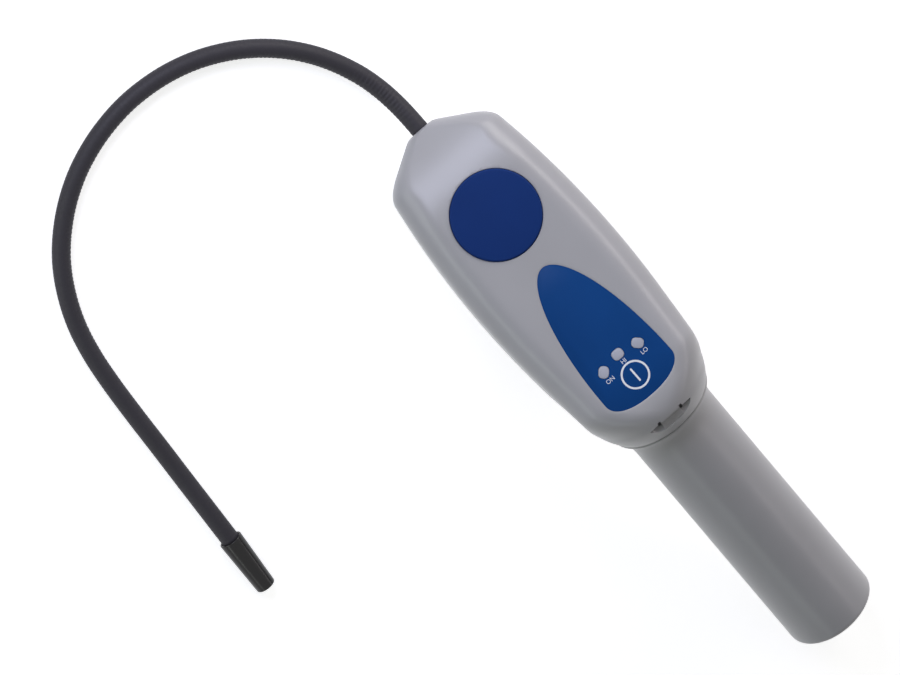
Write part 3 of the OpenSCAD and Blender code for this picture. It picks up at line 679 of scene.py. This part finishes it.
def hose_piece():
    """Tube along the path. Its skin has shallow rings, deeper where the bend pushes it together."""
    count = len(hose_path)
    ahead = np.gradient(hose_path, axis=0)
    ahead /= np.linalg.norm(ahead, axis=1)[:, None]
    bend = np.gradient(ahead, axis=0) / HOSE_SPACING
    smoothing = np.ones(61) / 61
    bend = np.column_stack([np.convolve(bend[:, k], smoothing, mode="same") for k in range(3)])
    side = np.cross(ahead, (0, 0, 1.0))
    side /= np.linalg.norm(side, axis=1)[:, None]
    up = np.cross(side, ahead)
    rng = np.random.default_rng(7)
    phase = np.cumsum(HOSE_SPACING / WRINKLE_PITCH * (1 + 0.35 * rng.standard_normal(count)))
    rings = 0.5 + 0.5 * np.cos(2 * np.pi * phase)
    strength = 0.35 + 0.65 * rng.random(count)
    strength = np.convolve(strength, np.ones(13) / 13, mode="same")
    angles = np.linspace(0, 2 * np.pi, HOSE_SIDES, endpoint=False)
    verts = []
    for i in range(count):
        normals = np.outer(np.cos(angles), side[i]) + np.outer(np.sin(angles), up[i])
        pressed = np.clip(normals @ bend[i] * 0.06, 0, 1)
        taper = min(i, count - 1 - i, 6) / 6
        dip = WRINKLE_DEPTH * rings[i] * strength[i] * (0.3 + 1.2 * pressed) * taper
        verts.append(hose_path[i] + normals * (HOSE_R * MM - dip)[:, None])
    verts = np.vstack(verts)
    faces = grid_faces(count, HOSE_SIDES, closed=True)
    last = (count - 1) * HOSE_SIDES
    faces += [tuple(range(HOSE_SIDES)), tuple(range(last, last + HOSE_SIDES))]
    return piece("hose", verts, faces)


hose = smooth(hose_piece(), 50)
finished(hose, "probe_hose", "head", "hose_rubber")


# Sensor tip

def tip_piece():
    end_round = 0.9
    base_round = 0.35
    inner_l = TIP_L - 1.6
    cavity_end = HOSE_INSET + SENSOR_SOCKET_L + 1
    outline = arc((TIP_R - base_round, base_round), base_round, -90, 0, 5)
    outline += arc((TIP_END_R - end_round, TIP_L - end_round), end_round, 3, 90, 8)
    outline += arc((INLET_R + 0.3, TIP_L - 0.3), 0.3, 90, 180, 4)
    outline += [
        (INLET_R, inner_l), (TIP_END_R - 1.2, inner_l), (TIP_CAVITY_R - 0.6, cavity_end),
        (TIP_CAVITY_R, cavity_end), (TIP_CAVITY_R, HOSE_INSET + 1),
        (TIP_BORE_R, HOSE_INSET + 1), (TIP_BORE_R, 0),
    ]
    return placed(lathe("tip", outline, 96), TIP_FRAME)


tip = finished(smooth(tip_piece()), "sensor_tip", "tip", "tip_black")


# Shells

def shell(name, side):
    """One moulded shell: outer skin, cavity skin and the rims that join them."""
    outer_at = head_stations()
    rows = len(outer_at)
    outer = [half_ring(u, side, False) for u in outer_at]
    inner = [half_ring(u + NOSE_WALL * max(1 - u / NOSE_BLEND, 0), side, True) for u in outer_at]
    cols = len(outer[0])
    verts = [point for ring in outer + inner for point in ring]
    far = rows * cols
    faces = grid_faces(rows, cols) + [tuple(reversed(f)) for f in grid_faces(rows, cols, far)]
    for i in range(rows - 1):
        for j in (0, cols - 1):
            a, b = i * cols + j, (i + 1) * cols + j
            faces.append((a, b, far + b, far + a))
    last = (rows - 1) * cols
    faces += [(last + j, last + j + 1, far + last + j + 1, far + last + j) for j in range(cols - 1)]
    faces += [tuple(range(cols)), tuple(range(far, far + cols)), (0, cols - 1, far + cols - 1, far)]
    return piece(name, verts, faces)


def bore(r, start, stop, matrix=Matrix.Identity(4), segments=96):
    return placed(lathe("cut", [(0, start), (r, start), (r, stop), (0, stop)], segments), matrix)


def nose_bores():
    return [
        bore(HOSE_R + MOVING_GAP, -1, FERRULE_BACK + 1, NOSE_IN_HEAD),
        bore(FERRULE_R + SEAT_GAP, FERRULE_BACK - SEAT_GAP, FERRULE_BACK + NOSE_WALL, NOSE_IN_HEAD),
    ]


def neck_bores():
    groove = SOCKET_FLANGE_R + SEAT_GAP
    return [
        bore(SOCKET_BORE_R, -SOCKET_DEPTH, 1, HANDLE_IN_HEAD, 128),
        bore(groove, -SOCKET_TOP - SEAT_GAP, -SOCKET_TOP + SOCKET_FLANGE_T + SEAT_GAP, HANDLE_IN_HEAD, 128),
    ]


EDGE_ROUND = 0.3
OVER = 6.0


def rounded_hole(x, r, depth):
    """Cutter for a round hole in the face; its rim flares out in a small round that follows the face."""
    profile = [(r, -depth)] + [
        (r + EDGE_ROUND * (1 - cos_d(t)), -EDGE_ROUND * (1 - sin_d(t))) for t in (0, 15, 30, 45, 60, 75, 90)
    ]
    profile += [(r + EDGE_ROUND, OVER)]
    segments = 128
    verts = []
    for reach, z in profile:
        for k in range(segments):
            a = 2 * math.pi * k / segments
            at = x + reach * math.cos(a)
            level = front_z(x + r * math.cos(a)) if z != -depth else 0
            verts.append((at, reach * math.sin(a), z + level))
    rows = len(profile)
    faces = grid_faces(rows, segments, closed=True)
    faces += [tuple(range(segments)), tuple(range((rows - 1) * segments, rows * segments))]
    return piece("cut", verts, faces)


def film_outline(count=160):
    """Ogive outline of the film: two half superellipses that meet at its widest place."""
    points = []
    for i in range(count):
        t = 360 * i / count
        up = cos_d(t) < 0
        power = 2 / 1.95 if up else 2 / 2.2
        reach = FILM_WIDE_X - FILM_TOP_X if up else FILM_END_X - FILM_WIDE_X
        points.append((
            FILM_WIDE_X + reach * math.copysign(abs(cos_d(t)) ** power, cos_d(t)),
            FILM_W / 2 * math.copysign(abs(sin_d(t)) ** power, sin_d(t)),
        ))
    return points


def lamp_frame(i):
    """Place of lamp i: -1, 0 or 1 across the film."""
    reach = LAMP_MID_R if i == 0 else LAMP_SIDE_R
    return (
        Matrix.Translation((KEY_X, 0, 0))
        @ Matrix.Rotation(math.radians(-i * LAMP_ANGLE), 4, "Z")
        @ Matrix.Translation((-reach, 0, 0))
    )


def lamp_windows(top):
    outline = rounded_rect(LAMP_W + 2 * SEAT_GAP, LAMP_L + 2 * SEAT_GAP, LAMP_ROUND)
    return [
        placed(prism("cut", outline, [(-WALL - 1, 0), (top, 0)]), lamp_frame(i)) for i in (-1, 0, 1)
    ]


def block(x0, x1, y_half, z0, z1):
    outline = [(x0, -y_half), (x1, -y_half), (x1, y_half), (x0, y_half)]
    return prism("cut", outline, [(z0, 0), (z1, 0)])


def across(name, outline, start, stop):
    """Solid with an outline in y and z that runs along x from start to stop."""
    along_x = Matrix(((0, 0, 1, 0), (1, 0, 0, 0), (0, 1, 0, 0), (0, 0, 0, 1)))
    return placed(prism(name, outline, [(start, 0), (stop, 0)]), along_x)


def scoop():
    """Scoop on the chin with a level shelf that rises at its ends, the latch's slot and two open notches."""
    shelf = -SCOOP_DEPTH
    slot_h = LATCH_RISE + SEAT_GAP + MOVING_GAP
    mouth = LATCH_W / 2 + NOTCH_W
    ear = mouth + MOVING_GAP + 0.7
    reach = 1.13 * SCOOP_HALF_W
    floor_line = []
    for i in range(49):
        y = reach * (i / 24 - 1)
        floor_line.append((y, shelf + SCOOP_END_RISE * (y / SCOOP_HALF_W) ** SCOOP_END_POWER))
    notch = rounded_rect(1.1 * NOTCH_W, NOTCH_W, 0.15, 3)
    return [
        across("cut", floor_line + [(reach, OVER), (-reach, OVER)], SCOOP_X, SCOOP_X + NECK_X),
        block(SCOOP_X - LATCH_NECK - 1, SCOOP_X + 1, mouth, shelf, shelf + slot_h),
        block(SCOOP_X - LATCH_SLOT, SCOOP_X - LATCH_NECK, ear, shelf, shelf + slot_h),
        *(placed(prism("cut", notch, [(shelf - 2 * WALL, 0), (OVER, 0)]),
                 Matrix.Translation((SCOOP_X, side * (LATCH_W + NOTCH_W) / 2, 0))) for side in (-1, 1)),
    ]


RECESS_BEVEL = 0.4
FILM_GAP = 0.03
FILM_TOP = -FILM_RECESS + FILM_T

front = shell("front_shell", 1)
recess = prism(
    "cut", film_outline(),
    [(-FILM_RECESS, FILM_GAP), (FILM_TOP, FILM_GAP), (0, FILM_GAP + RECESS_BEVEL),
     (OVER, FILM_GAP + RECESS_BEVEL)],
)
shaped(front, [
    rounded_hole(BUTTON_X, BUTTON_R + BUTTON_GAP, 2 * WALL),
    recess,
    *lamp_windows(OVER),
    bore(KEY_HOLE_R, -WALL - 1, 1, Matrix.Translation((KEY_X, 0, 0))),
    *nose_bores(),
    *neck_bores(),
    *scoop(),
])
finished(smooth(placed(front, HEAD_FRAME)), "front_housing", "head", "housing_grey")

rear = shell("rear_shell", -1)
screw_cuts = []
for x, y in SCREW_HOLES:
    seat = SCREW_SEAT - back_depth(x)
    screw_cuts.append(bore(SCREW_HEAD_R + MOVING_GAP, -HEAD_DEPTH - 1, seat, Matrix.Translation((x, y, 0)), 48))
slot_outline = rounded_rect(SOUND_L, SOUND_W, SOUND_W / 2 - 0.01)
slot_levels = [(-HEAD_DEPTH - 1, 0.5), (-HEAD_DEPTH + 0.25, 0), (-HEAD_DEPTH + 2 * WALL, 0)]
sound_cuts = [
    placed(prism("cut", slot_outline, slot_levels), Matrix.Translation((SOUND_X, i * SOUND_PITCH, 0)))
    for i in range(-2, 3)
]
shaped(rear, screw_cuts + sound_cuts + nose_bores() + neck_bores())
placed(rear, HEAD_FRAME)
below = block(-NECK_X * MM, NECK_X * MM, HEAD_W * MM, -HEAD_W * MM, 0)
shaped(rear, [below])
finished(smooth(rear), "rear_housing", "head", "housing_grey")


# Button

def button_piece():
    r = BUTTON_R
    under = BUTTON_RISE - BUTTON_CAP_T
    flange_top = front_z(BUTTON_X - r - BUTTON_FLANGE) - 1.1 * WALL - MOVING_GAP
    flange_end = flange_top - BUTTON_FLANGE_T
    crown_r = r - BUTTON_EDGE
    outline = [
        (0, PLUNGER_TOP), (STEM_R, PLUNGER_TOP), (STEM_R, under), (r - BUTTON_SKIRT_T, under),
        (r - BUTTON_SKIRT_T, flange_end), (r + BUTTON_FLANGE, flange_end), (r + BUTTON_FLANGE, flange_top),
        (r, flange_top),
    ]
    outline += arc((crown_r, BUTTON_RISE - BUTTON_EDGE), BUTTON_EDGE, 0, 90, 8)
    outline += [
        (crown_r * (1 - i / 12), BUTTON_RISE + BUTTON_CROWN * (1 - (1 - i / 12) ** 2)) for i in range(1, 13)
    ]
    return placed(lathe("button", outline, 192), HEAD_FRAME @ Matrix.Translation((BUTTON_X, 0, 0)))


finished(smooth(button_piece()), "sensitivity_button", "button", "button_blue")


# Film with its print

PRINT_T = 0.02
RING_R = 6.15
RING_W = 0.85
BAR_L = 6.6
WORD_H = 2.6
WORDS = {-1: ("ON", 4.3), 0: ("HI", 3.8), 1: ("LO", 4.3)}


def ring_print():
    outline = [(RING_R - RING_W, FILM_TOP - PRINT_T), (RING_R, FILM_TOP - PRINT_T),
               (RING_R, FILM_TOP + PRINT_T), (RING_R - RING_W, FILM_TOP + PRINT_T)]
    return placed(lathe("print", outline, 96), Matrix.Translation((KEY_X, 0, 0)))


def bar_print():
    outline = rounded_rect(BAR_L, RING_W, RING_W / 2 - 0.01)
    return placed(
        prism("print", outline, [(FILM_TOP - PRINT_T, 0), (FILM_TOP + PRINT_T, 0)]),
        Matrix.Translation((KEY_X, 0, 0)),
    )


def word_print(i, word, below):
    """A lamp's word, below the lamp as seen with the nose up, read across the film."""
    text = bpy.data.curves.new("print", "FONT")
    text.body = word
    text.align_x = "CENTER"
    text.align_y = "CENTER"
    text.size = WORD_H
    text.extrude = PRINT_T
    source = bpy.data.objects.new("print", text)
    bpy.context.scene.collection.objects.link(source)
    bpy.context.view_layer.update()
    mesh = bpy.data.meshes.new_from_object(source.evaluated_get(bpy.context.evaluated_depsgraph_get()))
    bpy.data.objects.remove(source)
    made = bpy.data.objects.new("print", mesh)
    bpy.context.scene.collection.objects.link(made)
    place = Matrix.Translation(lamp_frame(i).translation + Vector((below, 0, FILM_TOP)))
    return placed(made, place @ Matrix.Rotation(math.radians(90), 4, "Z"))


film = prism("film", film_outline(), [
    (-FILM_RECESS, 0), (FILM_TOP - 0.1, 0), (FILM_TOP - 0.03, -0.02), (FILM_TOP, -0.08),
])
shaped(film, lamp_windows(1))
wear(film, film_blue)
marks = [ring_print(), bar_print()] + [word_print(i, *word) for i, word in WORDS.items()]
for mark in marks:
    wear(mark, print_white)
film = joined("film", [film, *marks])
finished(smooth(placed(film, HEAD_FRAME)), "keypad_overlay", "head", "film_blue")


# Lamps

def lamp_piece(name, i):
    outline = rounded_rect(LAMP_W, LAMP_L, LAMP_ROUND, 8)
    foot = BOARD_TOP + SEAT_GAP
    levels = [(foot, 0.5), (foot + 2, 0.5), (foot + 2, 0), (FILM_TOP - 0.25, 0), (FILM_TOP - 0.08, -0.06),
              (FILM_TOP, -0.25)]
    return placed(prism(name, outline, levels), HEAD_FRAME @ lamp_frame(i))


for name, i in (("power", -1), ("high", 0), ("low", 1)):
    finished(smooth(lamp_piece(f"light_{name}", i)), f"{name}_lamp", "head", "lamp_clear")


# Latch

LATCH_STEPS = 4
STEP_DIP = 0.12


def latch_piece():
    """Ears inside the chin, and a tab whose finger face slopes down to a thin lip in fine steps."""
    back = -LATCH_NECK - MOVING_GAP
    ear_w = LATCH_W / 2 + NOTCH_W + 0.7
    lip_round = 0.3
    face = []
    for i in range(LATCH_STEPS):
        for part, dip in ((0.0, 0.0), (0.55, 0.0), (0.75, STEP_DIP), (0.95, STEP_DIP)):
            share = (i + part) / LATCH_STEPS
            face.append((share * (LATCH_TAB - lip_round), LATCH_RISE - share * (LATCH_RISE - LATCH_LIP) - dip))
    profile = [(back, 0), (LATCH_TAB, 0), (LATCH_TAB, LATCH_LIP - lip_round)]
    profile += [(LATCH_TAB - lip_round, LATCH_LIP)] + face[::-1] + [(back, LATCH_RISE)]
    half_w = LATCH_W / 2
    tab = prism("latch", profile, [(-half_w, -0.06), (0.06 - half_w, 0), (half_w - 0.06, 0), (half_w, -0.06)])
    placed(tab, Matrix.Rotation(math.radians(90), 4, "X"))
    ears = block(back - LATCH_EAR, back + 0.01, ear_w, 0, LATCH_T)
    shaped(tab, [ears], "UNION")
    return placed(tab, HEAD_FRAME @ Matrix.Translation((SCOOP_X, 0, SEAT_GAP - SCOOP_DEPTH)))


finished(smooth(latch_piece()), "battery_latch", "latch", "housing_grey")


# Handle

def handle_piece():
    flare_from = SEAM_GAP + FLARE_LAND
    end = HANDLE_L + END_REACH
    rim = (HANDLE_R - END_ROUND, end - END_ROUND)
    lip = 0.4
    outline = arc((NECK_SIDE_R - lip, SEAM_GAP + lip), lip, -90, 0, 5)
    outline += [
        (NECK_SIDE_R - (NECK_SIDE_R - HANDLE_R) * sin_d(90 * i / 24),
         flare_from + FLARE_L * (1 - cos_d(90 * i / 24)))
        for i in range(25)
    ]
    outline += [(HANDLE_R, flare_from + FLARE_L + (rim[1] - flare_from - FLARE_L) * i / 6) for i in range(1, 6)]
    outline += arc(rim, END_ROUND, 0, 90, 12)
    outline += [
        (0, end), (0, HANDLE_L - HANDLE_END), (BORE_R, HANDLE_L - HANDLE_END), (BORE_R, SHOULDER_Z),
        (SOCKET_BORE_R, SHOULDER_Z), (SOCKET_BORE_R, SEAM_GAP),
    ]
    segments = 192
    split = outline.index((0, end))
    ring = outline[split + 2:] + outline[:split]
    verts = [
        (r * math.cos(2 * math.pi * k / segments), r * math.sin(2 * math.pi * k / segments), z)
        for r, z in ring for k in range(segments)
    ]
    faces = grid_faces(len(ring), segments, closed=True)
    last = (len(ring) - 1) * segments
    faces += [tuple(range(segments)), tuple(range(last, last + segments))]
    return placed(piece("handle_tube", verts, faces), HANDLE_FRAME)


finished(smooth(handle_piece()), "battery_handle", "handle", "housing_grey")


# CAD nodes that keep their shape
for subpart in frame["record"]["subparts"]:
    node = frame["nodes"][subpart["node"]]
    if not node.hide_render:
        wear(node, MATERIALS[subpart["material_slot"]])
        smooth(node)


# Stage: pale floor, white surround and soft light

def seen_directly(tree):
    """1 for camera, glossy and transmission rays, which see the white surround, and 0 for the rest."""
    path = tree.nodes.new("ShaderNodeLightPath")
    total = path.outputs["Is Camera Ray"]
    for kind in ("Is Glossy Ray", "Is Transmission Ray"):
        either = tree.nodes.new("ShaderNodeMath")
        either.operation = "MAXIMUM"
        tree.links.new(total, either.inputs[0])
        tree.links.new(path.outputs[kind], either.inputs[1])
        total = either.outputs[0]
    return total


def floor_material():
    made, tree, shader = material("floor")
    shader.inputs["Roughness"].default_value = 0.9
    pale = ramp(tree, noise(tree, 3, 2.0), (0.78, 0.78, 0.78), (0.8, 0.8, 0.8))
    tree.links.new(pale, shader.inputs["Base Color"])
    glow = tree.nodes.new("ShaderNodeEmission")
    add = tree.nodes.new("ShaderNodeAddShader")
    strength = tree.nodes.new("ShaderNodeMath")
    strength.operation = "MULTIPLY"
    strength.inputs[1].default_value = FLOOR_GLOW
    tree.links.new(seen_directly(tree), strength.inputs[0])
    tree.links.new(strength.outputs[0], glow.inputs["Strength"])
    tree.links.new(shader.outputs[0], add.inputs[0])
    tree.links.new(glow.outputs[0], add.inputs[1])
    tree.links.new(add.outputs[0], tree.nodes["Material Output"].inputs["Surface"])
    return made


FLOOR_SIZE = 8.0
FLOOR_GLOW = 0.72
WORLD_LIGHT = 0.05

half = FLOOR_SIZE / 2
floor = piece("floor", [(-half, -half, 0), (half, -half, 0), (half, half, 0), (-half, half, 0)], [(0, 1, 2, 3)])
wear(floor, floor_material())

world = bpy.data.worlds.new("world")
bpy.context.scene.world = world
world.use_nodes = True
sky = world.node_tree.nodes["Background"]
sky.inputs["Color"].default_value = (1, 1, 1, 1)
sky_seen = world.node_tree.nodes.new("ShaderNodeMapRange")
sky_seen.inputs["To Min"].default_value = WORLD_LIGHT
sky_seen.inputs["To Max"].default_value = 1.0
world.node_tree.links.new(seen_directly(world.node_tree), sky_seen.inputs["Value"])
world.node_tree.links.new(sky_seen.outputs["Result"], sky.inputs["Strength"])


def soft_box(name, place, aim, size, watts, colour):
    """Soft rectangular lamp that points at aim; place, aim and size are in metres."""
    light = bpy.data.lights.new(name, "AREA")
    light.shape = "RECTANGLE"
    light.size, light.size_y = size
    light.energy = watts
    light.color = colour
    made = bpy.data.objects.new(name, light)
    bpy.context.scene.collection.objects.link(made)
    made.location = place
    made.rotation_euler = (Vector(aim) - Vector(place)).to_track_quat("-Z", "Y").to_euler()


LIT_POINT = (0, 0, 0.04)

soft_box("left_box", (-0.9, -1.12, 0.4), LIT_POINT, (1.0, 0.6), 3.0, (0.97, 1.0, 0.97))
soft_box("right_box", (-0.9, 1.12, 0.4), LIT_POINT, (1.0, 0.6), 7.6, (1.0, 0.97, 0.96))
soft_box("left_strip", (-0.3, -1.25, 0.7), LIT_POINT, (1.3, 0.2), 2.3, (0.92, 1.0, 0.92))
soft_box("right_strip", (-0.3, 1.25, 0.7), LIT_POINT, (1.3, 0.2), 4.8, (1.0, 0.94, 0.92))
soft_box("nose_box", (-1.25, 0, 0.95), LIT_POINT, (1.0, 0.5), 9.2, (0.84, 0.87, 1.1))
soft_box("left_end_strip", (0.85, -1.2, 0.75), LIT_POINT, (1.3, 0.12), 1.3, (0.93, 1.0, 0.93))
soft_box("right_end_strip", (0.85, 1.2, 0.75), LIT_POINT, (1.3, 0.12), 1.6, (1.0, 0.94, 0.95))

bpy.context.scene.view_settings.view_transform = "Standard"
